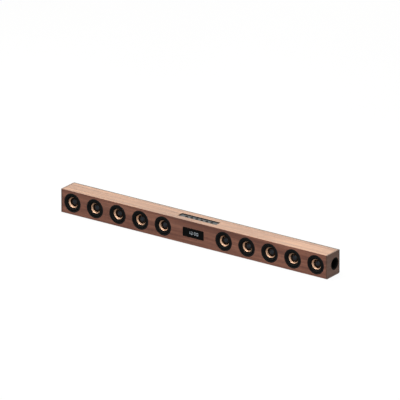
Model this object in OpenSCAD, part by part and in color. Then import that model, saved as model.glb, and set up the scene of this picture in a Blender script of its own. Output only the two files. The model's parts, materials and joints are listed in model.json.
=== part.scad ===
// Soundbar: a long mitred wood case with ten small drivers, a display, a strip of
// keys on top and a flared bass port in each end.
// X runs along the bar, the front faces -Y, Z is up. The origin is on the surface
// that the bar stands on, under the middle of its overall box.

/* [Case] */
// Length of the bar, end to end
bar_w = 900; // [894:2:960]
// Depth of the wood case, without the rear panel
case_d = 58; // [58:0.5:62]
// Height of the wood case, without the feet
case_h = 69.5; // [69:0.5:74]
// Thickness of the front, top and bottom boards
board_t = 7; // [6.5:0.5:7.5]
// Thickness of the two end boards
end_t = 4; // [4:0.5:5]
// Thickness of the rear panel
rear_t = 3.5; // [3.5:0.5:4]
// Radius of the long outer edges
edge_r = 0.8; // [0.4:0.1:1.2]
// Distance of each divider's middle from the middle of the bar
divider_x = 72.5; // [72:0.5:73]

/* [Drivers] */
// Distance between neighbouring drivers
driver_pitch = 77.2; // [76:0.2:77.2]
// Distance from the end of the bar to the last driver's axis
driver_inset = 38.2; // [38:0.1:39]
// Outer radius of the driver's flange
flange_r = 28; // [27:0.1:28.2]
// Inner radius of the cone's mouth
cone_r = 15.8; // [15:0.1:16]
// Inner radius of the cone at its floor
cone_floor_r = 12.4; // [11:0.1:13]
// Depth of the cone's floor behind the front face
cone_floor_d = 9; // [8:0.1:10]

/* [Display and keys] */
// Width of the display window
window_w = 71; // [60:1:80]
// Height of the display window
window_h = 27.5; // [24:0.5:32]
// Corner radius of the display window
window_r = 3; // [1:0.5:5]
// Length of the key strip's recess
strip_w = 130; // [124:0.2:132]
// Front-to-back size of the key strip's recess
strip_d = 22; // [18:0.5:24]
// Corner radius of the key strip's recess
strip_r = 3; // [2:0.5:4]
// Depth of the recess below the top face
strip_drop = 2.6; // [2:0.1:3]
// Radius of a key
key_r = 3.5; // [3:0.1:4]
// Distance between neighbouring keys
key_pitch = 17; // [12:0.5:19]

/* [Ports and rear] */
// Radius of the port's outer lip
port_lip_r = 17.75; // [17:0.05:18]
// Radius of the port's bore
port_bore_r = 12.8; // [12:0.1:13]
// Distance of the port's axis behind the front face
port_back = 37.4; // [36:0.1:38]
// Length of the port tube
port_len = 17.5; // [12:0.5:18]
// Distance between the two wall-mount keyholes
keyhole_span = 600; // [560:10:600]
// Height of the feet
foot_h = 1.5; // [1:0.5:3]

/* [Hidden] */
$fn = 96;
eps = 0.01;
cut = 1;

front_y = -(case_d + rear_t) / 2;
back_y = front_y + case_d;
rear_y = back_y + rear_t;
inner_front_y = front_y + board_t;
base_z = foot_h;
top_z = base_z + case_h;
mid_z = base_z + case_h / 2;
floor_z = base_z + board_t;
roof_z = top_z - board_t;
end_x = bar_w / 2;
inner_x = end_x - end_t;

// Drivers: depths are measured from the front face
side_count = 5;
driver_count = 2 * side_count;
flange_d = 0.4;
seat_d = 2.9;
seat_gap = 0.2;
baffle_hole_r = 25;
basket_r = 24.7;
basket_neck_r = 20.5;
basket_neck_d = 15;
basket_t = 1.2;
basket_back_d = 21.2;
frame_lip_r = 24.2;
spider_d = 16.2;
spider_t = 0.8;
spider_r = 19.1;
moving_gap = 0.4;
surround_r = 24.1;
surround_flat = 1.2;
surround_t = 0.6;
surround_roll = 2.1;
surround_outer_d = 2.1;
lip_d = 3.9;
lip_w = 1.2;
cone_t = 0.5;
floor_bead = 0.4;
floor_fall = 1.5;
floor_t = 0.6;
cap_r = 8.1;
cap_rise = 3.3;
cap_t = 0.5;
coil_r = 8.3;
coil_t = 0.4;
glue_gap = 0.02;
winding_t = 0.35;
coil_back_d = 27;
winding_front_d = 19.5;
winding_back_d = 26.5;
pole_r = 7.4;
pole_front_d = 20.5;
motor_r = 18;
gap_plate_r = 9.1;
gap_plate_t = 3;
magnet_t = 5.8;
magnet_hole_r = 10.5;
back_plate_t = 3;
vent_count = 4;
vent_size = [25, 7, 16];
vent_d = 11;
tab_w = 6;
tab_t = 1.4;
tab_drop = 25.5;

// Display
window_t = 1.9;
window_d = 0.3;
window_gap = 0.2;
window_ledge = 3;
glass_seat_d = window_d + window_t;
led_block_d = glass_seat_d + 0.2;
led_margin = 4;
module_w = 78;
module_h = 36;
pcb_t = 1.6;

// Key strip: depths are measured down from the top face
strip_y = (front_y + back_y) / 2;
tray_gap = 0.2;
tray_rim_d = 0.2;
tray_wall = 1;
tray_floor_t = 1.6;
tray_lip = 2.5;
tray_lip_t = 1.2;
key_hole_gap = 0.35;
key_top_d = 1;
key_flange_r = 4.5;
key_flange_t = 0.8;
key_rest_gap = 0.3;
key_dish_r = 18;
key_dish = 0.25;
key_stroke = 0.5;
switch_w = 6;
switch_gap = 0.2;
key_names = ["power", "mode", "previous", "play", "next", "pairing"];

// Ports
port_y = front_y + port_back;
port_flare = 3.7;
port_lip_t = 1.6;
port_wall = 1.6;
port_gap = 0.2;

// Rear panel, sockets and boards
panel_side = 0.2;
panel_top = 0.4;
panel_bottom = 0.6;
keyhole_r = 4.5;
keyhole_slot_r = 2.3;
keyhole_rise = 9;
keyhole_z = mid_z;
cup_w = 16;
cup_h = 27;
cup_depth = 8;
cup_wall = 1.5;
cup_glue = 0.05;
plate_w = 84;
plate_h = 21;
plate_t = 1.6;
plate_hole_w = 76;
plate_hole_h = 16;
board_w = 120;
board_d = 36;
standoff_h = 5;
standoff_r = 2.5;
board_z = floor_z + standoff_h;
board_back_gap = 1;
standoff_inset = 4;
// Parts on the main board: front left corner from the board's middle, and size
chips = [[[-20, -14], [14, 14, 2]], [[6, -12], [10, 10, 1.5]]];
heat_sink = [[26, -16], [26, 14, 9]];
can_xs = [-52, -40, -28];
can_y = -8;
can_r = 4;
can_h = 11;
socket_z = board_z + pcb_t + 6;
socket_face_y = rear_y - plate_t;
dc_x = -26;
dc_body = [9, 12, 12];
dc_nose_r = 4;
dc_hole_r = 3;
dc_hole_depth = 9.5;
dc_pin_r = 1;
aux_body = [10, 12, 15];
aux_nose_r = 3;
aux_hole_r = 1.8;
aux_hole_depth = 14;
nose_gap = 0.4;
usb_x = 26;
usb_w = 14.6;
usb_h = 7.2;
usb_wall = 0.6;
usb_depth = 13;
usb_tongue = [11, 1.8];
usb_tongue_rise = 0.4;
usb_tongue_back = 1;
usb_stand_w = 10;
usb_stand_back = 2.5;

// Wiring, feet and screws
wire_y = 22;
wire_z = 12;
trunk_r = 1.6;
trunk_inside = 8;
trunk_past = 4;
lead_r = 0.9;
divider_t = 5;
foot_r = 7;
foot_x = end_x - 35;
foot_inset = 16;
screw_r = 1.45;
screw_head_r = 3;
screw_len = 13;
screw_head_t = 2;
screw_inset = 5;
screw_xs = [-(end_x - 20), -(end_x - 20) / 2, 0, (end_x - 20) / 2, end_x - 20];

wood = [0.60, 0.42, 0.33];
wood_end = [0.45, 0.33, 0.28];
raw_board = [0.62, 0.50, 0.38];
near_black = [0.09, 0.10, 0.10];
gold = [0.88, 0.70, 0.52];
steel = [0.62, 0.63, 0.65];

function tag(i) = i < 9 ? str("0", i + 1) : str(i + 1);

// Driver 0 is at the left end; the gap in the middle of the row is for the display
function driver_x(i) = i < side_count
    ? -end_x + driver_inset + i * driver_pitch
    : end_x - driver_inset - (driver_count - 1 - i) * driver_pitch;

function key_x(k) = (k - (len(key_names) - 1) / 2) * key_pitch;

module rounded_square(w, h, r) {
    square([w - 2 * r, h], center = true);
    square([w, h - 2 * r], center = true);
    for (x = [-1, 1])
        for (y = [-1, 1])
            translate([x * (w / 2 - r), y * (h / 2 - r)])
                circle(r);
}

// A box between two corners
module block(low, high) {
    translate(low)
        cube(high - low);
}

// A rounded rectangle between two heights
module slab(w, d, r, low_z, high_z) {
    translate([0, 0, low_z])
        linear_extrude(height = high_z - low_z)
            rounded_square(w, d, r);
}

// Extrudes a YZ outline along X, centred on X = 0
module along_x(length) {
    rotate([90, 0, 90])
        linear_extrude(height = length, center = true)
            children();
}

// Extrudes an XZ outline to the back, from y
module along_y(y, length) {
    translate([0, y + length, 0])
        rotate([90, 0, 0])
            linear_extrude(height = length)
                children();
}

// Turns a profile of radius and depth round a driver's axis
module on_driver(i) {
    translate([driver_x(i), front_y, mid_z])
        rotate([-90, 0, 0])
            rotate_extrude()
                children();
}

// A ring's profile, between two radii and two depths
module ring(r_in, r_out, d_front, d_back) {
    translate([r_in, d_front])
        square([r_out - r_in, d_back - d_front]);
}

// A board of the case: a mitred YZ outline within the rounded case outline
module case_board(outline) {
    along_x(2 * inner_x)
        intersection() {
            polygon(outline);
            translate([front_y + case_d / 2, mid_z])
                rounded_square(case_d, case_h, edge_r);
        }
}

module screw_places() {
    for (x = screw_xs)
        for (z = [base_z + screw_inset, top_z - screw_inset])
            translate([x, rear_y, z])
                rotate([90, 0, 0])
                    children();
}

module screw_form() {
    cylinder(r = screw_r, h = screw_len);
    cylinder(r1 = screw_head_r, r2 = screw_r, h = screw_head_t);
}

// ---- Case ----

module front_baffle() {
    color(wood)
        difference() {
            case_board([
                [front_y, base_z],
                [front_y, top_z],
                [inner_front_y, roof_z],
                [inner_front_y, floor_z],
            ]);
            for (i = [0 : driver_count - 1])
                on_driver(i) {
                    ring(0, flange_r + seat_gap, -cut, seat_d);
                    ring(0, baffle_hole_r, -cut, board_t + cut);
                }
            translate([0, 0, mid_z]) {
                along_y(front_y - cut, glass_seat_d + cut)
                    rounded_square(window_w + 2 * window_gap, window_h + 2 * window_gap, window_r);
                along_y(front_y - cut, board_t + 2 * cut)
                    square([window_w - 2 * window_ledge, window_h - 2 * window_ledge], center = true);
            }
        }
}

module top_board() {
    color(wood)
        difference() {
            case_board([
                [front_y, top_z],
                [back_y, top_z],
                [back_y, roof_z],
                [inner_front_y, roof_z],
            ]);
            translate([0, strip_y, top_z])
                slab(strip_w, strip_d, strip_r, -board_t - cut, cut);
            screw_places()
                screw_form();
        }
}

module bottom_board() {
    color(wood)
        difference() {
            case_board([
                [front_y, base_z],
                [back_y, base_z],
                [back_y, floor_z],
                [inner_front_y, floor_z],
            ]);
            screw_places()
                screw_form();
        }
}

// side is -1 for the left end and 1 for the right end
module end_board(side) {
    color(wood_end)
        difference() {
            translate([side * (end_x - end_t / 2), front_y + case_d / 2, mid_z])
                along_x(end_t)
                    rounded_square(case_d, case_h, edge_r);
            on_port(side) {
                ring(0, port_lip_r + port_gap, -cut, port_lip_t);
                ring(0, port_bore_r + port_flare + port_gap, -cut, end_t + cut);
            }
        }
}

module rear_panel() {
    panel_h = case_h - panel_top - panel_bottom;
    panel_z = base_z + panel_bottom + panel_h / 2;
    color(near_black)
        difference() {
            translate([0, 0, panel_z])
                along_y(back_y, rear_t)
                    rounded_square(bar_w - 2 * panel_side, panel_h, edge_r);
            for (side = [-1, 1])
                translate([side * keyhole_span / 2, 0, keyhole_z])
                    along_y(back_y - cut, rear_t + 2 * cut) {
                        circle(keyhole_r);
                        translate([-keyhole_slot_r, 0])
                            square([2 * keyhole_slot_r, keyhole_rise]);
                        translate([0, keyhole_rise])
                            circle(keyhole_slot_r);
                    }
            translate([0, 0, socket_z]) {
                along_y(socket_face_y, plate_t + cut)
                    square([plate_w + 2 * window_gap, plate_h + 2 * window_gap], center = true);
                along_y(back_y - cut, rear_t + 2 * cut)
                    square([plate_hole_w, plate_hole_h], center = true);
            }
            screw_places()
                screw_form();
        }
    // A cup behind each keyhole, glued to the panel
    color(near_black)
        for (side = [-1, 1])
            translate([side * keyhole_span / 2, 0, keyhole_z + keyhole_rise / 2])
                difference() {
                    along_y(back_y - cup_depth, cup_depth - cup_glue)
                        square([cup_w, cup_h], center = true);
                    along_y(back_y - cup_depth + cup_wall, cup_depth)
                        square([cup_w - 2 * cup_wall, cup_h - 2 * cup_wall], center = true);
                }
}

module divider(side) {
    x = side * divider_x;
    color(raw_board)
        difference() {
            block([x - divider_t / 2, inner_front_y, floor_z], [x + divider_t / 2, back_y, roof_z]);
            translate([x, wire_y, wire_z])
                rotate([0, 90, 0])
                    cylinder(r = trunk_r, h = 2 * divider_t, center = true);
        }
}

// Turns a profile of radius and depth round a port's axis, from the end face inwards
module on_port(side) {
    translate([side * end_x, port_y, mid_z])
        rotate([0, -side * 90, 0])
            rotate_extrude()
                children();
}

module port_tube(side) {
    flare_r = port_bore_r + port_flare;
    color(near_black)
        on_port(side) {
            intersection() {
                translate([flare_r, port_flare])
                    circle(port_flare);
                ring(port_bore_r, flare_r, 0, port_flare);
            }
            ring(flare_r, port_lip_r, 0, port_lip_t);
            ring(port_bore_r, port_bore_r + port_wall, port_flare, port_len);
        }
}

// ---- Drivers ----

module driver_frame(i) {
    neck_in = basket_neck_r - basket_t;
    ledge_d = spider_d + spider_t;
    color(near_black)
        union() {
            difference() {
                on_driver(i) {
                    ring(frame_lip_r, flange_r, flange_d, seat_d);
                    ring(frame_lip_r - basket_t, frame_lip_r + eps, seat_d - surround_t / 2, seat_d);
                    polygon([
                        [basket_r - basket_t, seat_d - eps],
                        [basket_r, seat_d - eps],
                        [basket_neck_r, basket_neck_d],
                        [neck_in, basket_neck_d],
                    ]);
                    ring(neck_in, basket_neck_r, basket_neck_d - eps, basket_back_d);
                    ring(motor_r - 1, neck_in + eps, ledge_d, ledge_d + basket_t);
                    ring(gap_plate_r + 2, neck_in + eps, basket_back_d - basket_t, basket_back_d);
                }
                translate([driver_x(i), front_y + vent_d, mid_z])
                    for (n = [0 : vent_count - 1])
                        rotate([0, 45 + n * 360 / vent_count, 0])
                            translate([basket_neck_r, 0, 0])
                                cube(vent_size, center = true);
            }
            block(
                [driver_x(i) - tab_w / 2, front_y + ledge_d, mid_z - tab_drop],
                [driver_x(i) + tab_w / 2, front_y + ledge_d + tab_t, mid_z - neck_in]
            );
        }
}

module cone(i) {
    coil_front_d = cone_floor_d + floor_fall;
    bead_d = cone_floor_d + floor_bead;
    color(gold)
        on_driver(i)
            polygon([
                [cone_r, lip_d],
                [cone_r + lip_w, lip_d],
                [cone_r + lip_w, lip_d + cone_t],
                [cone_r + cone_t, lip_d + cone_t],
                [cone_floor_r + cone_t, cone_floor_d],
                [cone_floor_r, bead_d + floor_t],
                [coil_r + glue_gap, coil_front_d + floor_t],
                [coil_r + glue_gap, coil_front_d],
                [cone_floor_r - floor_bead, bead_d],
                [cone_floor_r, cone_floor_d],
            ]);
    color(raw_board)
        on_driver(i) {
            ring(coil_r - coil_t, coil_r, coil_front_d, coil_back_d);
            ring(coil_r - eps, coil_r + winding_t, winding_front_d, winding_back_d);
        }
}

module dust_cap(i) {
    base_d = cone_floor_d + floor_fall;
    sphere_r = (cap_r * cap_r + cap_rise * cap_rise) / (2 * cap_rise);
    centre_d = base_d - cap_rise + sphere_r;
    color([0.12, 0.14, 0.18])
        translate([driver_x(i), front_y, mid_z])
            rotate([-90, 0, 0])
                intersection() {
                    difference() {
                        translate([0, 0, centre_d])
                            sphere(sphere_r);
                        translate([0, 0, centre_d])
                            sphere(sphere_r - cap_t);
                    }
                    translate([0, 0, base_d - 2 * cap_rise])
                        cylinder(r = 2 * cap_r, h = 2 * cap_rise);
                }
}

// Rubber half roll with a flat glue edge on each side
module surround_profile() {
    inner_r = cone_r + lip_w + moving_gap;
    roll_r = surround_r - surround_flat - surround_roll;
    foot_d = surround_outer_d + surround_t / 2;
    ring(roll_r + surround_roll - surround_t / 2, surround_r, surround_outer_d, surround_outer_d + surround_t - 0.1);
    intersection() {
        translate([roll_r, foot_d])
            difference() {
                circle(surround_roll + surround_t / 2, $fn = 48);
                circle(surround_roll - surround_t / 2, $fn = 48);
            }
        ring(roll_r - 2 * surround_roll, roll_r + 2 * surround_roll, foot_d - 2 * surround_roll, foot_d);
    }
    polygon([
        [roll_r - surround_roll + surround_t / 2, foot_d - eps],
        [roll_r - surround_roll - surround_t / 2, foot_d - eps],
        [inner_r, lip_d],
        [inner_r, lip_d + surround_t],
    ]);
}

module surrounds() {
    color([0.06, 0.06, 0.06])
        for (i = [0 : driver_count - 1])
            on_driver(i)
                surround_profile();
}

module spiders() {
    color([0.75, 0.62, 0.35])
        for (i = [0 : driver_count - 1])
            on_driver(i)
                ring(coil_r + winding_t + moving_gap, spider_r, spider_d, spider_d + spider_t);
}

// Front plate, and back plate with its pole, of each driver's motor
module pole_plates() {
    back_d = basket_back_d + gap_plate_t + magnet_t;
    color(steel)
        for (i = [0 : driver_count - 1]) {
            on_driver(i)
                ring(gap_plate_r, motor_r - 0.5, basket_back_d, basket_back_d + gap_plate_t);
            on_driver(i) {
                ring(0, motor_r - 0.5, back_d, back_d + back_plate_t);
                ring(0, pole_r, pole_front_d, back_d + eps);
            }
        }
}

module magnet_rings() {
    front_d = basket_back_d + gap_plate_t;
    color([0.25, 0.25, 0.27])
        for (i = [0 : driver_count - 1])
            on_driver(i)
                ring(magnet_hole_r, motor_r, front_d, front_d + magnet_t);
}

// ---- Display and keys ----

module display_window() {
    color([0.02, 0.02, 0.03])
        translate([0, 0, mid_z])
            along_y(front_y + window_d, window_t)
                rounded_square(window_w, window_h, window_r);
}

module display_module() {
    led_w = window_w - 2 * window_ledge - led_margin;
    led_h = window_h - 2 * window_ledge - led_margin;
    color([0.12, 0.25, 0.16])
        translate([0, 0, mid_z]) {
            along_y(inner_front_y, pcb_t)
                square([module_w, module_h], center = true);
            along_y(front_y + led_block_d, board_t - led_block_d)
                square([led_w, led_h], center = true);
        }
}

module key_tray() {
    outer_w = strip_w - 2 * tray_gap;
    outer_d = strip_d - 2 * tray_gap;
    inner_w = outer_w - 2 * tray_wall;
    inner_d = outer_d - 2 * tray_wall;
    tray_r = strip_r - tray_gap;
    lip_low = board_t + tray_lip_t;
    color([0.40, 0.40, 0.41])
        translate([0, strip_y, top_z])
            difference() {
                union() {
                    slab(outer_w, outer_d, tray_r, -lip_low, -tray_rim_d);
                    slab(outer_w + 2 * tray_lip, outer_d + 2 * tray_lip, tray_r, -lip_low, -board_t);
                }
                slab(inner_w, inner_d, tray_r - tray_wall, -strip_drop, cut);
                slab(inner_w, inner_d, tray_r - tray_wall, -lip_low - cut, -strip_drop - tray_floor_t);
                for (k = [0 : len(key_names) - 1])
                    translate([key_x(k), 0, -board_t])
                        cylinder(r = key_r + key_hole_gap, h = board_t);
            }
}

module key(k) {
    flange_top_d = strip_drop + tray_floor_t + key_rest_gap;
    color(near_black)
        translate([key_x(k), strip_y, top_z])
            difference() {
                union() {
                    translate([0, 0, -flange_top_d - key_flange_t])
                        cylinder(r = key_flange_r, h = key_flange_t);
                    translate([0, 0, -flange_top_d - eps])
                        cylinder(r = key_r, h = flange_top_d - key_top_d + eps);
                }
                translate([0, 0, -key_top_d + key_dish_r - key_dish])
                    sphere(key_dish_r);
            }
}

module key_board() {
    switch_top_d = strip_drop + tray_floor_t + key_rest_gap + key_flange_t + key_stroke + switch_gap;
    pcb_top_d = board_t + tray_lip_t;
    half_w = strip_w / 2;
    half_d = strip_d / 2;
    color([0.12, 0.25, 0.16])
        translate([0, strip_y, top_z]) {
            block([-half_w, -half_d, -pcb_top_d - pcb_t], [half_w, half_d, -pcb_top_d]);
            for (k = [0 : len(key_names) - 1])
                translate([key_x(k), 0, 0])
                    block(
                        [-switch_w / 2, -switch_w / 2, -pcb_top_d],
                        [switch_w / 2, switch_w / 2, -switch_top_d]
                    );
        }
}

// ---- Rear, electronics and wiring ----

module main_board() {
    board_back_y = back_y - board_back_gap;
    color([0.12, 0.25, 0.16])
        block([-board_w / 2, board_back_y - board_d, board_z], [board_w / 2, board_back_y, board_z + pcb_t]);
    translate([0, board_back_y - board_d / 2, 0]) {
        color(steel)
            for (x = [-1, 1])
                for (y = [-1, 1])
                    translate([x * (board_w / 2 - standoff_inset), y * (board_d / 2 - standoff_inset), floor_z])
                        cylinder(r = standoff_r, h = standoff_h);
        translate([0, 0, board_z + pcb_t]) {
            color(near_black) {
                for (chip = chips)
                    translate(chip[0])
                        cube(chip[1]);
                for (x = can_xs)
                    translate([x, can_y])
                        cylinder(r = can_r, h = can_h);
            }
            color(steel)
                translate(heat_sink[0])
                    cube(heat_sink[1]);
        }
    }
}

module jack_plate() {
    color([0.16, 0.16, 0.17])
        difference() {
            translate([0, 0, socket_z])
                along_y(socket_face_y, plate_t - 0.1)
                    square([plate_w, plate_h], center = true);
            translate([dc_x, 0, socket_z])
                along_y(socket_face_y - cut, plate_t + 2 * cut)
                    circle(dc_nose_r + window_gap);
            translate([0, 0, socket_z])
                along_y(socket_face_y - cut, plate_t + 2 * cut)
                    circle(aux_nose_r + window_gap);
            translate([usb_x, 0, socket_z])
                along_y(socket_face_y - cut, plate_t + 2 * cut)
                    square([usb_w + 2 * window_gap, usb_h + 2 * window_gap], center = true);
        }
}

// A socket body that stands on the main board, with a round nose through the plate
module socket_body(size, nose_r) {
    translate([0, socket_face_y - size[2], socket_z]) {
        translate([-size[0] / 2, 0, board_z + pcb_t - socket_z])
            cube([size[0], size[2], size[1]]);
        along_y(size[2] - eps, plate_t - nose_gap)
            circle(nose_r);
    }
}

module sockets() {
    mouth_y = socket_face_y + plate_t - nose_gap;
    shell_z = socket_z - usb_h / 2;
    color(near_black) {
        translate([dc_x, 0, 0])
            difference() {
                socket_body(dc_body, dc_nose_r);
                translate([0, 0, socket_z])
                    along_y(mouth_y - dc_hole_depth, dc_hole_depth + cut)
                        difference() {
                            circle(dc_hole_r);
                            circle(dc_pin_r);
                        }
                translate([0, 0, socket_z])
                    along_y(mouth_y - 1, 1 + cut)
                        circle(dc_hole_r);
            }
        difference() {
            socket_body(aux_body, aux_nose_r);
            translate([0, 0, socket_z])
                along_y(mouth_y - aux_hole_depth, aux_hole_depth + cut)
                    circle(aux_hole_r);
        }
    }
    color(steel)
        translate([usb_x, 0, 0]) {
            difference() {
                block([-usb_w / 2, mouth_y - usb_depth, shell_z], [usb_w / 2, mouth_y, shell_z + usb_h]);
                block(
                    [-usb_w / 2 + usb_wall, mouth_y - usb_depth + usb_wall, shell_z + usb_wall],
                    [usb_w / 2 - usb_wall, mouth_y + cut, shell_z + usb_h - usb_wall]
                );
            }
            translate([0, 0, socket_z + usb_tongue_rise])
                block(
                    [-usb_tongue[0] / 2, mouth_y - usb_depth + usb_wall, 0],
                    [usb_tongue[0] / 2, mouth_y - usb_tongue_back, usb_tongue[1]]
                );
            block(
                [-usb_stand_w / 2, mouth_y - usb_depth, board_z + pcb_t],
                [usb_stand_w / 2, mouth_y - usb_stand_back, shell_z]
            );
        }
}

// One bundle to each side, with a lead to every driver's terminal tab
module wire_harness() {
    trunk_start = divider_x - trunk_inside;
    trunk_end = -driver_x(0) + trunk_past;
    lead_front_y = front_y + spider_d + spider_t + tab_t;
    color([0.55, 0.12, 0.10])
        for (side = [0, 1])
            mirror([side, 0, 0])
                union() {
                    translate([trunk_start, wire_y, wire_z])
                        rotate([0, 90, 0])
                            cylinder(r = trunk_r, h = trunk_end - trunk_start);
                    for (i = [0 : side_count - 1])
                        translate([-driver_x(i), wire_y, wire_z])
                            rotate([90, 0, 0])
                                cylinder(r = lead_r, h = wire_y - lead_front_y);
                }
}

module feet() {
    color([0.08, 0.08, 0.08])
        for (x = [-foot_x, foot_x])
            for (y = [front_y + foot_inset, back_y - foot_inset])
                translate([x, y, 0])
                    cylinder(r = foot_r, h = foot_h);
}

module screws() {
    color([0.3, 0.3, 0.3])
        screw_places()
            screw_form();
}

front_baffle();
top_board();
bottom_board();
rear_panel();
end_board(-1);  // left_end_board
end_board(1);  // right_end_board
divider(-1);  // left_divider
divider(1);  // right_divider
port_tube(-1);  // left_port_tube
port_tube(1);  // right_port_tube
for (i = [0 : driver_count - 1]) {
    driver_frame(i);
    cone(i);
    dust_cap(i);
}
surrounds();
spiders();
pole_plates();
magnet_rings();
display_window();
display_module();
key_tray();
for (k = [0 : len(key_names) - 1]) {
    key(k);
}
key_board();
main_board();
jack_plate();
sockets();
wire_harness();
feet();
screws();
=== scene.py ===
"""A walnut soundbar on a pale studio floor.

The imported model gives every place. The profiles are written in millimetres and
become meshes in metres. X runs along the bar, the front faces -Y, and Z is up.
"""

import json
import math

import bmesh
import bpy
from mathutils import Matrix, Vector
from mathutils.geometry import tessellate_polygon

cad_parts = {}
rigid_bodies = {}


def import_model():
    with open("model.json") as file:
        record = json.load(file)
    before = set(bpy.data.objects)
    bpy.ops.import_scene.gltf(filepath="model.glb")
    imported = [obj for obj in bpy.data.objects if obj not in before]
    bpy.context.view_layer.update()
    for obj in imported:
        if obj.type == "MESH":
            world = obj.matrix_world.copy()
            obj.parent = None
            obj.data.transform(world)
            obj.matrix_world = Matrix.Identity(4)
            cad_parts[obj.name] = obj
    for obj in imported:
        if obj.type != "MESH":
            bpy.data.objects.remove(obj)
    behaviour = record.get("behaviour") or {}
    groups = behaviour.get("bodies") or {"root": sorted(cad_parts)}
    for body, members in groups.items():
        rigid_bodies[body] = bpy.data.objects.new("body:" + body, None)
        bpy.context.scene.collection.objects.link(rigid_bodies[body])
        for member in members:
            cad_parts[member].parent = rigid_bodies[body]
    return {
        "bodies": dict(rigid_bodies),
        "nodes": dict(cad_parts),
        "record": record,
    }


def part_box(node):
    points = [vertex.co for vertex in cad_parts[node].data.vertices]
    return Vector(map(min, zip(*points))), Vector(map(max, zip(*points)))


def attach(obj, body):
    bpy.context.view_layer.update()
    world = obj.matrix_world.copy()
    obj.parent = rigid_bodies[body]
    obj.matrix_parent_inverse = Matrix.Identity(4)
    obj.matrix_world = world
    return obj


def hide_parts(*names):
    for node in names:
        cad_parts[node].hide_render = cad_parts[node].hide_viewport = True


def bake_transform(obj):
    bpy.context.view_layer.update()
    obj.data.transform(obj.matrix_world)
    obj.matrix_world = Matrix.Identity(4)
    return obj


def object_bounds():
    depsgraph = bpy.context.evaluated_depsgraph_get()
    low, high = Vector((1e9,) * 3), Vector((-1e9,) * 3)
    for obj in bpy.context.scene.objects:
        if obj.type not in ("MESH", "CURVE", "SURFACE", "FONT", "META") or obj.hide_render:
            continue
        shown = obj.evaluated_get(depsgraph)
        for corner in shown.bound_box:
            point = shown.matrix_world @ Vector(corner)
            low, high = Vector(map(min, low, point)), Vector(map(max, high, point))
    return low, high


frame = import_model()
cad_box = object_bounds()
NODES = frame["nodes"]
BODIES = frame["bodies"]

MM = 0.001
BAR_LOW, BAR_HIGH = cad_box[0], cad_box[1]
FRONT_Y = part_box("front_baffle")[0].y
DRIVERS = sorted(name[-2:] for name in NODES if name.startswith("driver_frame_"))
KEYS = sorted(name for name in BODIES if name.startswith("key_"))
ROUND_STEPS = 96
SHARP_ANGLE = math.radians(32)
TRAY_DEPTH = 2.6 * MM
TRAY_FLOOR_Z = BAR_HIGH.z - TRAY_DEPTH


def middle(node):
    """The middle of a CAD node's box."""
    low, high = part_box(node)
    return (low + high) / 2


# ---------------------------------------------------------------- node helpers

# A colour Mix node's sockets, by number because several share a name
MIX_FACTOR, MIX_A, MIX_B, MIX_RESULT = 0, 6, 7, 2


def as_three(value):
    """One number stands for the same number on each axis."""
    return (value,) * 3 if isinstance(value, (int, float)) else value


class Shader:
    """A material's node tree with short calls for adding and linking nodes."""

    def __init__(self, name):
        self.material = bpy.data.materials.new(name)
        self.material.use_nodes = True
        self.tree = self.material.node_tree
        self.bsdf = self.tree.nodes["Principled BSDF"]

    def add(self, kind, **values):
        node = self.tree.nodes.new("ShaderNode" + kind)
        for key, value in values.items():
            setattr(node, key, value)
        return node

    def link(self, source, target):
        self.tree.links.new(source, target)

    def set(self, **values):
        """Sets the shader's own sockets; underscores stand for the spaces in their names."""
        for key, value in values.items():
            self.bsdf.inputs[key.replace("_", " ")].default_value = value

    def place(self, scale, shift=0.0):
        """Object coordinates, scaled by one number or three, and shifted."""
        coords = self.add("TexCoord")
        mapping = self.add("Mapping")
        mapping.inputs["Scale"].default_value = as_three(scale)
        mapping.inputs["Location"].default_value = as_three(shift)
        self.link(coords.outputs["Object"], mapping.inputs["Vector"])
        return mapping.outputs["Vector"]

    def noise(self, vector, detail, rough=0.5, warp=0.0):
        """Noise about one unit across; place() sets its size on the object."""
        node = self.add("TexNoise")
        node.inputs["Scale"].default_value = 1.0
        node.inputs["Detail"].default_value = detail
        node.inputs["Roughness"].default_value = rough
        node.inputs["Distortion"].default_value = warp
        self.link(vector, node.inputs["Vector"])
        return node.outputs["Fac"]

    def ramp(self, fac, stops):
        """A colour ramp; each stop is (position, colour or grey)."""
        node = self.add("ValToRGB")
        elements = node.color_ramp.elements
        while len(elements) < len(stops):
            elements.new(0.5)
        for element, (position, colour) in zip(elements, stops):
            element.position = position
            element.color = (*as_three(colour), 1)
        self.link(fac, node.inputs["Fac"])
        return node.outputs["Color"]

    def mix(self, fac, a, b, blend="MIX"):
        """Mixes two colours; each value is a number, a colour or a socket."""
        node = self.add("Mix", data_type="RGBA", blend_type=blend)
        for value, index in ((fac, MIX_FACTOR), (a, MIX_A), (b, MIX_B)):
            socket = node.inputs[index]
            if isinstance(value, bpy.types.NodeSocket):
                self.link(value, socket)
            elif isinstance(value, (int, float)):
                socket.default_value = value
            else:
                socket.default_value = (*value, 1)
        return node.outputs[MIX_RESULT]

    def scale_to(self, value, low, high):
        """Maps 0 to 1 onto low to high."""
        node = self.add("MapRange")
        node.inputs["To Min"].default_value = low
        node.inputs["To Max"].default_value = high
        self.link(value, node.inputs["Value"])
        return node.outputs["Result"]

    def colour(self, source):
        self.link(source, self.bsdf.inputs["Base Color"])

    def roughness(self, value, low, high):
        """Roughness from low to high, as the value goes from 0 to 1."""
        self.link(self.scale_to(value, low, high), self.bsdf.inputs["Roughness"])

    def bump(self, height, strength, distance, under=None):
        """Relief, distance metres deep, on top of an earlier bump if given."""
        node = self.add("Bump")
        node.inputs["Strength"].default_value = strength
        node.inputs["Distance"].default_value = distance
        self.link(height, node.inputs["Height"])
        if under is not None:
            self.link(under, node.inputs["Normal"])
        self.link(node.outputs["Normal"], self.bsdf.inputs["Normal"])
        return node.outputs["Normal"]


# ------------------------------------------------------------------- materials


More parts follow.
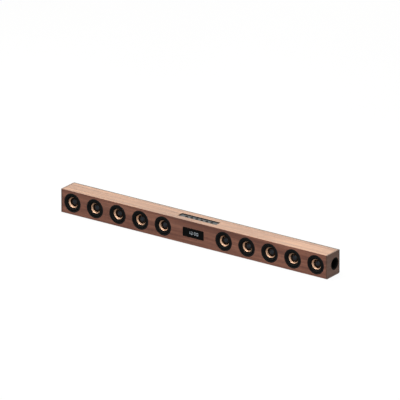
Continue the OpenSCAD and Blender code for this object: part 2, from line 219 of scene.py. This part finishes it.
def tinted(colour, factor):
    """The same colour, darker or lighter."""
    return tuple(c * factor for c in colour)


# Walnut's figure: each layer's scale along the grain and across it
BANDS = (1.8, 38)
STREAKS = (5, 140)
FIBRE = (26, 1100)
PORES = (75, 1500)


def walnut(name, dark, mid, light, grain=0, shift=0.0, specular=0.5):
    """Open-pored walnut veneer; grain is the axis that it runs along, 0 for X."""
    s = Shader(name)

    def stretched(along, across):
        scale = [across] * 3
        scale[grain] = along
        return s.place(scale, shift)

    bands = s.noise(stretched(*BANDS), 4, 0.55, 0.6)
    streaks = s.noise(stretched(*STREAKS), 5, 0.6, 0.3)
    fibre = s.noise(stretched(*FIBRE), 2)
    pores = s.noise(stretched(*PORES), 1, 0.4)
    colour = s.ramp(bands, [(0.34, dark), (0.50, mid), (0.66, light)])
    colour = s.mix(0.5, colour, s.ramp(streaks, [(0.34, dark), (0.51, mid), (0.67, light)]))
    colour = s.mix(0.35, colour, s.ramp(fibre, [(0.3, 0.62), (0.7, 1.35)]), "MULTIPLY")
    pit = s.ramp(pores, [(0.30, 0.0), (0.40, 1.0)])
    colour = s.mix(0.45, colour, pit, "MULTIPLY")
    s.colour(colour)
    s.roughness(streaks, 0.36, 0.56)
    under = s.bump(fibre, 0.25, 0.08 * MM)
    s.bump(pit, 0.5, 0.12 * MM, under)
    s.set(Specular_IOR_Level=specular)
    return s.material


def fibreboard(name):
    """Raw board, seen only inside."""
    s = Shader(name)
    flecks = s.noise(s.place(900), 3, 0.7)
    dark, light = (0.20, 0.12, 0.07), (0.40, 0.27, 0.16)
    s.colour(s.ramp(flecks, [(0.35, dark), (0.65, light)]))
    s.bump(flecks, 0.4, 0.1 * MM)
    s.set(Roughness=0.9)
    return s.material


# The spark-eroded texture of moulded plastic
SPARK_SCALE = 1600
SPARK_DEPTH = 0.04 * MM


def moulded(name, colour, rough=0.5, specular=0.5):
    """Moulded plastic: a fine spark-eroded texture and slightly uneven gloss."""
    s = Shader(name)
    spark = s.noise(s.place(SPARK_SCALE), 3, 0.65)
    cloud = s.noise(s.place(30), 2)
    low, high = tinted(colour, 0.86), tinted(colour, 1.14)
    s.colour(s.ramp(cloud, [(0.3, low), (0.7, high)]))
    s.roughness(cloud, rough - 0.05, rough + 0.05)
    s.bump(spark, 0.35, SPARK_DEPTH)
    s.set(Specular_IOR_Level=specular)
    return s.material


def tray_plastic(name):
    """Grey film on the tray's floor; the recess walls above it, found by height, are painted
    near-black as shade.
    """
    s = Shader(name)
    spark = s.noise(s.place(SPARK_SCALE), 3, 0.65)
    coords = s.add("TexCoord")
    axes = s.add("SeparateXYZ")
    s.link(coords.outputs["Object"], axes.inputs["Vector"])
    film_top, wall_foot = TRAY_FLOOR_Z + 0.05 * MM, TRAY_FLOOR_Z + 0.15 * MM
    wall = s.add("MapRange")
    wall.inputs["From Min"].default_value = film_top
    wall.inputs["From Max"].default_value = wall_foot
    s.link(axes.outputs["Z"], wall.inputs["Value"])
    film = s.ramp(spark, [(0.3, (0.032, 0.033, 0.034)), (0.7, (0.040, 0.041, 0.042))])
    # grey film on the floor, near-black painted shade on the recess walls
    colour = s.mix(wall.outputs["Result"], film, (0.004, 0.004, 0.004))
    s.colour(colour)
    s.roughness(spark, 0.5, 0.6)
    s.bump(spark, 0.35, SPARK_DEPTH)
    s.set(Specular_IOR_Level=0.15)
    return s.material


def rubber(name):
    """Matt black rubber with a dusty bloom."""
    s = Shader(name)
    clean, dusty = 0.0035, 0.0056
    bloom = s.noise(s.place(160), 4, 0.6)
    s.colour(s.ramp(bloom, [(0.35, clean), (0.7, dusty)]))
    s.roughness(bloom, 0.62, 0.78)
    s.bump(bloom, 0.2, 0.05 * MM)
    s.set(Specular_IOR_Level=0.04)
    return s.material


# Fine marks on metal and lacquer
MARKS_SCALE = 900
MARKS_DEPTH = 0.02 * MM


def metal(name, colour, rough, scratch=MARKS_SCALE):
    """Plated or machined metal with fine marks."""
    s = Shader(name)
    marks = s.noise(s.place(scratch), 3, 0.6)
    s.colour(s.ramp(marks, [(0.3, tinted(colour, 0.9)), (0.7, colour)]))
    s.roughness(marks, rough - 0.06, rough + 0.06)
    s.bump(marks, 0.2, MARKS_DEPTH)
    s.set(Metallic=1.0)
    return s.material


def gold_paint(name, colour):
    """Satin gold lacquer on a pressed cone; its rings are in the mesh."""
    s = Shader(name)
    marks = s.noise(s.place(MARKS_SCALE), 3, 0.6)
    s.colour(s.ramp(marks, [(0.3, tinted(colour, 0.92)), (0.7, colour)]))
    s.roughness(marks, 0.46, 0.56)
    s.bump(marks, 0.15, MARKS_DEPTH)
    s.set(Metallic=0.5)
    return s.material


def gloss_window(name):
    """Polished smoked acrylic."""
    s = Shader(name)
    haze = s.noise(s.place(60), 2)
    s.colour(s.ramp(haze, [(0.3, 0.0010), (0.7, 0.0018)]))
    s.roughness(haze, 0.05, 0.09)
    s.set(Specular_IOR_Level=0.035)
    return s.material


def lamp(name, colour, strength):
    """A lit display segment behind a diffuser."""
    s = Shader(name)
    glow = s.noise(s.place(700), 1)
    s.colour(s.ramp(glow, [(0.3, tinted(colour, 0.85)), (0.7, colour)]))
    s.set(Roughness=0.4, Emission_Color=(*colour, 1), Emission_Strength=strength)
    return s.material


def cloth(name, colour):
    """Impregnated woven cloth."""
    s = Shader(name)
    weave = s.add("TexChecker")
    weave.inputs["Scale"].default_value = 1
    weave.inputs["Color1"].default_value = (*colour, 1)
    weave.inputs["Color2"].default_value = (*tinted(colour, 0.6), 1)
    s.link(s.place(2500), weave.inputs["Vector"])
    s.colour(weave.outputs["Color"])
    s.bump(weave.outputs["Fac"], 0.4, 0.1 * MM)
    s.set(Roughness=0.85)
    return s.material


def circuit(name):
    """Green solder mask with faint tracks."""
    s = Shader(name)
    tracks = s.add("TexBrick")
    tracks.inputs["Scale"].default_value = 1
    tracks.inputs["Color1"].default_value = (0.012, 0.07, 0.03, 1)
    tracks.inputs["Color2"].default_value = (0.016, 0.09, 0.04, 1)
    tracks.inputs["Mortar"].default_value = (0.03, 0.14, 0.06, 1)
    s.link(s.place(300), tracks.inputs["Vector"])
    s.colour(tracks.outputs["Color"])
    s.set(Roughness=0.35)
    return s.material


def make_materials():
    """Every material by its name, without the number that Blender adds.

    The frame's own materials hold some of the names, so Blender numbers these.
    """
    made = [
        walnut(
            "walnut",
            dark=(0.062, 0.015, 0.006),
            mid=(0.145, 0.047, 0.025),
            light=(0.245, 0.101, 0.061),
            specular=0.4,
        ),
        # The top board's walnut is painted lighter and yellower than the front's: painted light
        # falling on the top
        walnut(
            "walnut_top_painted_light",
            dark=(0.072, 0.026, 0.011),
            mid=(0.176, 0.081, 0.041),
            light=(0.290, 0.158, 0.090),
        ),
        # The end boards' walnut is painted darker than the front's: painted shade on the ends
        walnut(
            "walnut_end",
            dark=(0.040, 0.016, 0.0085),
            mid=(0.078, 0.035, 0.020),
            light=(0.122, 0.060, 0.039),
            grain=1,
            shift=3.7,
            specular=0.25,
        ),
        fibreboard("raw_board"),
        moulded("black_panel", (0.014, 0.012, 0.011), 0.55, specular=0.25),
        moulded("black_plastic", (0.0045, 0.0047, 0.0046), 0.45, specular=0.07),
        # Black plastic darkened further and given less gloss: painted shade in the ports
        moulded("port_black_painted_shade", (0.0022, 0.0022, 0.0022), 0.6, specular=0.02),
        rubber("black_rubber"),
        gold_paint("gold_cone", (0.60, 0.372, 0.240)),
        # Near-black brown: the cone's glue bead and back, and painted shade on the cone's deep
        # floor
        moulded("cone_bead_and_painted_shade", (0.010, 0.0045, 0.002), 0.7, specular=0.05),
        moulded("dark_cap", (0.0075, 0.0105, 0.0155), 0.42, specular=0.20),
        cloth("spider_cloth", (0.45, 0.30, 0.10)),
        metal("copper", (0.75, 0.32, 0.16), 0.3, scratch=(200, 6000, 200)),
        metal("steel", (0.55, 0.56, 0.58), 0.38),
        metal("motor_plate", (0.09, 0.09, 0.095), 0.5),
        moulded("ferrite", (0.035, 0.035, 0.037)),
        gloss_window("window"),
        lamp("digit_lit", (0.42, 0.46, 0.50), 0.30),
        moulded("digit_dim", (0.003, 0.003, 0.0035), 0.3, specular=0.06),
        circuit("circuit_board"),
        tray_plastic("tray_grey"),
        moulded("key_black", (0.0022, 0.0022, 0.003), specular=0.04),
        moulded("socket_black", (0.012, 0.012, 0.012), 0.4),
        moulded("wire", (0.25, 0.012, 0.010)),
        metal("black_screw", (0.045, 0.045, 0.048), 0.4),
    ]
    return {material.name.split(".")[0]: material for material in made}


# ----------------------------------------------------------------- mesh helpers


def make_object(name, mesh, materials, body):
    """A piece that rides on a body, or on none when no body is given."""
    for material in materials:
        mesh.materials.append(material)
    obj = bpy.data.objects.new(name, mesh)
    bpy.context.scene.collection.objects.link(obj)
    if body:
        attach(obj, body)
    return obj


def to_mesh(bm, name, transform):
    """Ends a bmesh: normals outwards, moved into place, written to a mesh."""
    bmesh.ops.recalc_face_normals(bm, faces=bm.faces)
    bm.transform(transform)
    mesh = bpy.data.meshes.new(name)
    bm.to_mesh(mesh)
    bm.free()
    return mesh


def smooth(mesh):
    for face in mesh.polygons:
        face.use_smooth = True
    mesh.set_sharp_from_angle(angle=SHARP_ANGLE)
    return mesh


def circle(radius, steps):
    """Points all the way round, from the +X axis."""
    turns = (2 * math.pi * n / steps for n in range(steps))
    return [(radius * math.cos(a), radius * math.sin(a)) for a in turns]


def ring_of(bm, outline, depth):
    """A loop of vertices from an outline and a depth, all in mm."""
    return [bm.verts.new((x * MM, y * MM, depth * MM)) for x, y in outline]


def bridge(bm, a, b):
    """A band of faces between two loops; a loop of one vertex is a pole."""
    steps = max(len(a), len(b))
    made = []
    for n in range(steps):
        m = (n + 1) % steps
        corners = []
        for vert in (a[n % len(a)], a[m % len(a)], b[m % len(b)], b[n % len(b)]):
            if vert not in corners:
                corners.append(vert)
        if len(corners) > 2:
            made.append(bm.faces.new(corners))
    return made


def arc(centre, radius, start, end, steps=8):
    """Points on an arc of a profile, by angle in degrees from the +radius axis."""
    out = []
    for n in range(steps + 1):
        a = math.radians(start + (end - start) * n / steps)
        out.append((centre[0] + radius * math.cos(a), centre[1] + radius * math.sin(a)))
    return out


def lathe(name, profile, transform, closed=True, steps=ROUND_STEPS, paint=None):
    """Turns (radius, depth) points in mm round an axis. A radius of 0 becomes a pole.

    paint gives the material index for each stretch of the profile.
    """
    bm = bmesh.new()
    rings = []
    for radius, depth in profile:
        outline = circle(radius, steps) if radius > 1e-6 else [(0, 0)]
        rings.append(ring_of(bm, outline, depth))
    pairs = list(zip(rings, rings[1:]))
    if closed:
        pairs.append((rings[-1], rings[0]))
    for index, (a, b) in enumerate(pairs):
        for face in bridge(bm, a, b):
            face.material_index = paint[index] if paint else 0
    return smooth(to_mesh(bm, name, transform))


def into_bar(centre):
    """A transform that turns a profile's depth to +Y, from the front face."""
    return Matrix.Translation(centre) @ Matrix.Rotation(math.radians(-90), 4, "X")


def prism(name, outline, depth, transform):
    """A plate from a flat outline, depth mm thick towards +Z before the transform."""
    bm = bmesh.new()
    bottom = ring_of(bm, outline, 0)
    top = ring_of(bm, outline, depth)
    bm.faces.new(bottom)
    bm.faces.new(top)
    bridge(bm, bottom, top)
    return to_mesh(bm, name, transform)


# --------------------------------------------------------------------- drivers
# Profiles are (radius from the axis, depth behind the bar's front face) in mm.

ROLL_RADIUS = 20.9  # the middle of the surround's half roll


def driver_centre(tag):
    """The driver's axis at the front face."""
    at = middle("driver_frame_" + tag)
    at.y = FRONT_Y
    return at


def trim_profile():
    """Pressed ring over the flange's face: a rounded outer edge and a rolled inner lip."""
    outer = arc((27.55, 0.45), 0.35, 0, -90, 6)
    inner = arc((24.9, 0.75), 0.65, -90, -180, 8)
    back = [(24.25, 1.6), (24.6, 1.6), (25.4, 0.55), (27.3, 0.6)]
    return [(27.9, 1.0)] + outer + [(25.9, 0.10)] + inner + back


def surround_profile():
    """Half roll, thin rubber, with a flat glue edge on each side."""
    top = [(24.1, 2.0), (22.9, 2.0)]
    top += arc((ROLL_RADIUS, 2.1), 2.0, 0, -180, 16)
    top += [(18.2, 3.1), (17.5, 3.55), (16.5, 3.6)]
    back = [(16.5, 3.85), (17.6, 3.95), (18.6, 3.4)]
    back += arc((ROLL_RADIUS, 2.4), 1.75, -180, 0, 16)
    back += [(23.0, 2.5), (24.1, 2.5)]
    return top + back


def cone_profile():
    """Black glue bead, gold wall, ribbed floor painted dark brown as the cone's shade, and the
    matching back.

    Also returns the material index of each stretch: 0 is gold, 1 is dark brown, for the bead, the
    back and the floor's painted shade.
    """
    lip = [(16.95, 4.4), (16.95, 4.05), (16.75, 3.9)] + arc((15.75, 4.35), 0.5, -90, -180, 4)
    mouth, narrowing, front, depth, curve = 15.2, 2.6, 4.3, 4.7, 0.94
    wall_steps, wall_ring = 24, 0.03
    wall = []
    for n in range(wall_steps + 1):
        t = n / wall_steps
        ring = wall_ring if n % 2 else 0
        wall.append((mouth - narrowing * t**curve + ring, front + depth * t + ring))
    rib_pitch, rib_height, fall = 0.4, 0.14, 0.06
    floor = [(12.3, 9.4)]
    for n in range(9):
        rib = rib_height if n % 2 else 0
        floor.append((12.0 - rib_pitch * n, 9.6 + fall * n + rib))
    back = [(8.6, 10.7), (12.4, 10.5), (12.9, 9.2), (16.7, 4.5)]
    profile = lip + wall + floor + back
    gold = range(len(lip), len(lip) + wall_steps)
    return profile, [0 if n in gold else 1 for n in range(len(profile))]


def cap_profile():
    """Dome with a rolled edge that sits on the coil's former."""
    radius, rise, base, thick = 8.0, 3.3, 10.45, 0.35
    sphere = (radius * radius + rise * rise) / (2 * rise)
    half = math.degrees(math.asin(radius / sphere))
    centre = base - rise + sphere
    outside = arc((0, centre), sphere, -90, -90 + half, 14)
    inside = arc((0, centre), sphere - thick, -90 + half, -90, 14)
    return outside + [(8.25, 10.55), (8.2, 10.75)] + inside


def spider_profile():
    """Corrugated disc, from the coil out to its seat in the frame."""
    coil, seat = 8.7, 19.05
    inner_depth, fall, wave, thick = 17.4, 1.1, 0.2, 0.25
    steps, waves = 60, 5
    front = []
    for n in range(steps + 1):
        t = n / steps
        ripple = wave * math.sin(2 * math.pi * waves * t) * math.sin(math.pi * t)
        front.append((coil + (seat - coil) * t, inner_depth - fall * t + ripple))
    back = [(radius, depth + thick) for radius, depth in reversed(front)]
    return front + back


def coil_profile():
    """Former with its winding."""
    former_front = [(7.9, 10.75), (8.3, 10.75)]
    winding = [(8.3, 19.5), (8.65, 19.6), (8.65, 26.4), (8.3, 26.5)]
    return former_front + winding + [(8.3, 27.0), (7.9, 27.0)]


def make_driver(tag, mats):
    centre = driver_centre(tag)
    turn = into_bar(centre)
    moving = "cone_assembly_" + tag
    name = "driver_" + tag

    def turned(part, profile, finishes, body, paint=None):
        mesh = lathe(f"{name}_{part}", profile, turn, paint=paint)
        return make_object(f"{name}_{part}", mesh, [mats[f] for f in finishes], body)

    turned("trim", trim_profile(), ["black_plastic"], "root")

    profile, paint = cone_profile()
    cone = turned("cone", profile, ["gold_cone", "cone_bead_and_painted_shade"], moving, paint)
    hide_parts("cone_" + tag)

    coil = turned("coil", coil_profile(), ["copper"], moving)
    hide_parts("cone_" + tag)

    cap = turned("cap", cap_profile(), ["dark_cap"], moving)
    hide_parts("dust_cap_" + tag)

    roll = turned("surround", surround_profile(), ["black_rubber"], None)
    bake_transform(roll)
    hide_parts("surrounds")

    spider = turned("spider", spider_profile(), ["spider_cloth"], None)
    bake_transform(spider)
    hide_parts("spiders")


# ------------------------------------------------------------- display and keys

# The bars that each numeral lights: a top, b and c right, d bottom, e and f left, g middle
SEGMENTS = {"0": "abcdef", "1": "bc", "2": "abged", "3": "abgcd"}


def segment_outline(length, thick):
    """A bar with pointed ends."""
    half, t = length / 2, thick / 2
    return [(-half, 0), (-half + t, -t), (half - t, -t), (half, 0), (half - t, t), (-half + t, t)]


def make_display(mats):
    """Generic numerals behind the window, as seven-bar digits."""
    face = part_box("display_window")[0].y
    centre = middle("display_window")
    wide, high, thick, proud = 4.8, 7.6, 0.95, 0.06
    pitch, colon_room, colon_radius, colon_place = 8.6, 0.7, 0.62, high / 5
    gap = 0.18
    plate = proud * 1.5
    bar = wide - gap
    side = high / 2 - gap
    places = {
        "a": (0, high / 2, 0, bar),
        "g": (0, 0, 0, bar),
        "d": (0, -high / 2, 0, bar),
        "b": (wide / 2, high / 4, 90, side),
        "c": (wide / 2, -high / 4, 90, side),
        "f": (-wide / 2, high / 4, 90, side),
        "e": (-wide / 2, -high / 4, 90, side),
    }
    upright = Matrix.Rotation(math.radians(90), 4, "X")
    to_face = Matrix.Translation((centre.x, face - proud * MM, centre.z)) @ upright
    sunk = to_face @ Matrix.Translation((0, 0, -proud * MM))

    def piece(name, outline, place, finish):
        mesh = prism(name, outline, plate, sunk @ place)
        make_object(name, mesh, [mats[finish]], "root")

    for number, numeral in enumerate("1230"):
        x = (number - 1.5) * pitch + (colon_room if number > 1 else -colon_room)
        for key, (dx, dy, angle, length) in places.items():
            finish = "digit_lit" if key in SEGMENTS[numeral] else "digit_dim"
            place = Matrix.Translation(((x + dx) * MM, dy * MM, 0))
            place = place @ Matrix.Rotation(math.radians(angle), 4, "Z")
            outline = segment_outline(length, thick)
            piece(f"display_digit_{number}_{key}", outline, place, finish)
    for name, sign in (("display_colon_low", -1), ("display_colon_high", 1)):
        place = Matrix.Translation((0, sign * colon_place * MM, 0))
        piece(name, circle(colon_radius, 16), place, "digit_lit")


def key_profile(height):
    """A dished cap with a rolled rim, a straight side and its retaining flange."""
    dish_radius, dish_depth, dish_steps = 2.9, 0.28, 8
    side, flange, flange_thick, chamfer = 3.5, 4.5, 0.8, 0.1
    dish = []
    for n in range(dish_steps + 1):
        t = n / dish_steps
        dish.append((dish_radius * t, dish_depth * (1 - t**2)))
    rim = arc((3.05, 0.45), 0.45, -90, 0, 6)
    top = height - flange_thick
    foot = [(side, top), (flange - chamfer, top), (flange, top + chamfer), (flange, height)]
    return dish + rim + foot + [(0, height)]


def make_key(body, mats):
    low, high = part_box(body)
    centre = (low + high) / 2
    turn = Matrix.Translation((centre.x, centre.y, high.z)) @ Matrix.Rotation(math.pi, 4, "X")
    height = (high.z - low.z) / MM
    mesh = lathe(body + "_cap", key_profile(height), turn, closed=False, steps=48)
    cap = make_object(body + "_cap", mesh, [mats["key_black"]], body)
    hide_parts(body)


# ----------------------------------------------------------------- rear screws

SCREW_COLUMNS = 5
SCREW_STEPS = 32
HEAD_RADIUS = 3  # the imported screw's head in mm
# Head, taper and shank as (radius, depth) in mm
SCREW_PROFILE = [(2.7, 0), (2.85, 0.05), (2.9, 0.2), (1.4, 2), (1.4, 12.2), (0.4, 12.9)]


def screw_mesh(name, transform):
    """A countersunk screw with a cross recess; its head's face is at depth 0."""
    bm = bmesh.new()
    rings = [ring_of(bm, circle(radius, SCREW_STEPS), depth) for radius, depth in SCREW_PROFILE]
    for a, b in zip(rings, rings[1:]):
        bridge(bm, a, b)
    bm.faces.new(rings[-1])
    slot, reach, taper, deep = 0.36, 1.55, 0.62, 1.0
    cross = []
    for quarter in range(4):
        turn = Matrix.Rotation(math.radians(90 * quarter), 2)
        cross += [turn @ Vector(at) for at in ((reach, -slot), (reach, slot), (slot, slot))]
    mouth = ring_of(bm, cross, 0)
    floor = ring_of(bm, [at * taper for at in cross], deep)
    bridge(bm, mouth, floor)
    bm.faces.new(floor)
    around = rings[0] + mouth
    for corners in tessellate_polygon([[v.co for v in rings[0]], [v.co for v in mouth]]):
        bm.faces.new([around[k] for k in corners])
    return smooth(to_mesh(bm, name, transform))


def make_screws(mats):
    low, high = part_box("screws")
    head = HEAD_RADIUS * MM
    pitch = (high.x - low.x - 2 * head) / (SCREW_COLUMNS - 1)
    places = []
    for column in range(SCREW_COLUMNS):
        for z in (low.z + head, high.z - head):
            places.append((low.x + head + column * pitch, z))
    first_turn, next_turn = 17, 47
    for number, (x, z) in enumerate(places):
        name = f"rear_screw_{number + 1:02d}"
        turn = Matrix.Translation((x, high.y, z)) @ Matrix.Rotation(math.radians(90), 4, "X")
        spin = Matrix.Rotation(math.radians(first_turn + next_turn * number), 4, "Z")
        mesh = screw_mesh(name, turn @ spin)
        screw = make_object(name, mesh, [mats["black_screw"]], "root")
        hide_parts("screws")


# ---------------------------------------------------------------- CAD finishes

# Nodes whose finish isn't their slot's own
OWN_FINISH = {
    # the port tubes take black plastic darkened as painted shade
    "left_port_tube": "port_black_painted_shade",
    "right_port_tube": "port_black_painted_shade",
    # the top board takes the walnut painted lighter as the light on top
    "top_board": "walnut_top_painted_light",
    "pole_plates": "motor_plate",
}
# Nodes with softened edges, and the bevel's width in mm
SOFT_EDGES = {
    "left_end_board": 0.7,
    "right_end_board": 0.7,
    "rear_panel": 0.4,
    "jack_plate": 0.25,
    "display_window": 0.25,
    "feet": 0.35,
}


def finish_cad(mats):
    """Gives every CAD node its material and softens some nodes' edges."""
    for entry in frame["record"]["subparts"]:
        node = NODES[entry["node"]]
        finish = OWN_FINISH.get(entry["node"], entry["material_slot"])
        node.data.materials.clear()
        node.data.materials.append(mats[finish])
    for name, width in SOFT_EDGES.items():
        bevel = NODES[name].modifiers.new("edge", "BEVEL")
        bevel.width = width * MM
        bevel.segments = 2
        bevel.limit_method = "ANGLE"
        bevel.angle_limit = math.radians(50)


# -------------------------------------------------------------- studio and view

FLOOR_HALF, FLOOR_THICK = 40000, 10  # mm

# Soft lights: place, target and size in metres, power in watts, colour
WHITE = (1, 1, 1)
LIGHTS = {
    "key": ((-0.1, -0.30, 2.6), (0, 0, 0.04), (2.6, 1.8), 185, WHITE),
    "front_fill": ((1.2, -2.4, 1.1), (0, 0, 0.04), (1.8, 1.4), 21, WHITE),
    "right_fill": ((2.7, -0.5, 0.7), (0.3, 0, 0.04), (1.4, 1.2), 20, WHITE),
    "left_fill": ((-2.6, -0.6, 0.9), (-0.2, 0, 0.04), (1.6, 1.4), 14, WHITE),
    "back_fill": ((-1.0, 2.6, 1.2), (0, 0, 0.06), (3.0, 1.4), 30, (1, 0.98, 0.84)),
}

# The view, fitted to the photograph: angles in degrees, lengths in metres
CAMERA_AZIMUTH, CAMERA_ELEVATION = 35.08, 21.01
CAMERA_DISTANCE = 32.84
VIEW_WIDTH = 1.1091
TARGET_UP, TARGET_RIGHT = 0.0851, 0.0013  # from the bar's middle
SENSOR = 36  # mm
CLIP = 1, 200


def area_light(name, place, target, size, power, colour):
    data = bpy.data.lights.new(name, "AREA")
    data.shape = "RECTANGLE"
    data.size, data.size_y = size
    data.energy = power
    data.color = colour
    light = bpy.data.objects.new(name, data)
    light.location = place
    aim = Vector(target) - Vector(place)
    light.rotation_euler = aim.to_track_quat("-Z", "Y").to_euler()
    bpy.context.scene.collection.objects.link(light)


def make_world():
    """White for the camera and for reflections, dimmer as ambient light."""
    ambient = 0.30
    world = bpy.data.worlds.new("studio")
    bpy.context.scene.world = world
    world.use_nodes = True
    tree = world.node_tree
    background = tree.nodes["Background"]
    background.inputs["Color"].default_value = (1, 1, 1, 1)
    path = tree.nodes.new("ShaderNodeLightPath")
    strength = tree.nodes.new("ShaderNodeMapRange")
    strength.inputs["To Min"].default_value = 1.0
    strength.inputs["To Max"].default_value = ambient
    tree.links.new(path.outputs["Is Diffuse Ray"], strength.inputs["Value"])
    tree.links.new(strength.outputs["Result"], background.inputs["Strength"])


def make_floor():
    """Pale paper that glows almost white and takes a faint shadow."""
    a = FLOOR_HALF
    outline = [(-a, -a), (a, -a), (a, a), (-a, a)]
    mesh = prism("floor", outline, -FLOOR_THICK, Matrix.Identity(4))
    floor = bpy.data.objects.new("floor", mesh)
    bpy.context.scene.collection.objects.link(floor)
    s = Shader("floor_paper")
    tone = s.noise(s.place(2), 2)
    s.colour(s.ramp(tone, [(0.3, 0.036), (0.7, 0.040)]))
    s.set(
        Roughness=1.0,
        Specular_IOR_Level=0.0,
        Emission_Color=(1, 1, 1, 1),
        Emission_Strength=0.92,
    )
    mesh.materials.append(s.material)
    floor.visible_diffuse = False
    floor.visible_glossy = False


def make_studio():
    """White surroundings, the floor and the lights."""
    make_world()
    make_floor()
    for name, values in LIGHTS.items():
        area_light(name, *values)


def make_camera():
    """A long lens from the front right, a little above."""
    azimuth, elevation = math.radians(CAMERA_AZIMUTH), math.radians(CAMERA_ELEVATION)
    back = Vector((
        math.sin(azimuth) * math.cos(elevation),
        -math.cos(azimuth) * math.cos(elevation),
        math.sin(elevation),
    ))
    right = Vector((math.cos(azimuth), math.sin(azimuth), 0))
    up = back.cross(right)
    target = (BAR_LOW + BAR_HIGH) / 2 + up * TARGET_UP + right * TARGET_RIGHT
    data = bpy.data.cameras.new("camera")
    data.sensor_width = SENSOR
    data.lens = SENSOR * CAMERA_DISTANCE / VIEW_WIDTH
    data.clip_start, data.clip_end = CLIP
    camera = bpy.data.objects.new("camera", data)
    camera.location = target + back * CAMERA_DISTANCE
    camera.rotation_euler = back.to_track_quat("Z", "Y").to_euler()
    bpy.context.scene.collection.objects.link(camera)
    bpy.context.scene.camera = camera


def main():
    bpy.context.scene.view_settings.view_transform = "Standard"
    mats = make_materials()
    finish_cad(mats)
    for tag in DRIVERS:
        make_driver(tag, mats)
    for body in KEYS:
        make_key(body, mats)
    make_display(mats)
    make_screws(mats)
    make_studio()
    make_camera()


main()
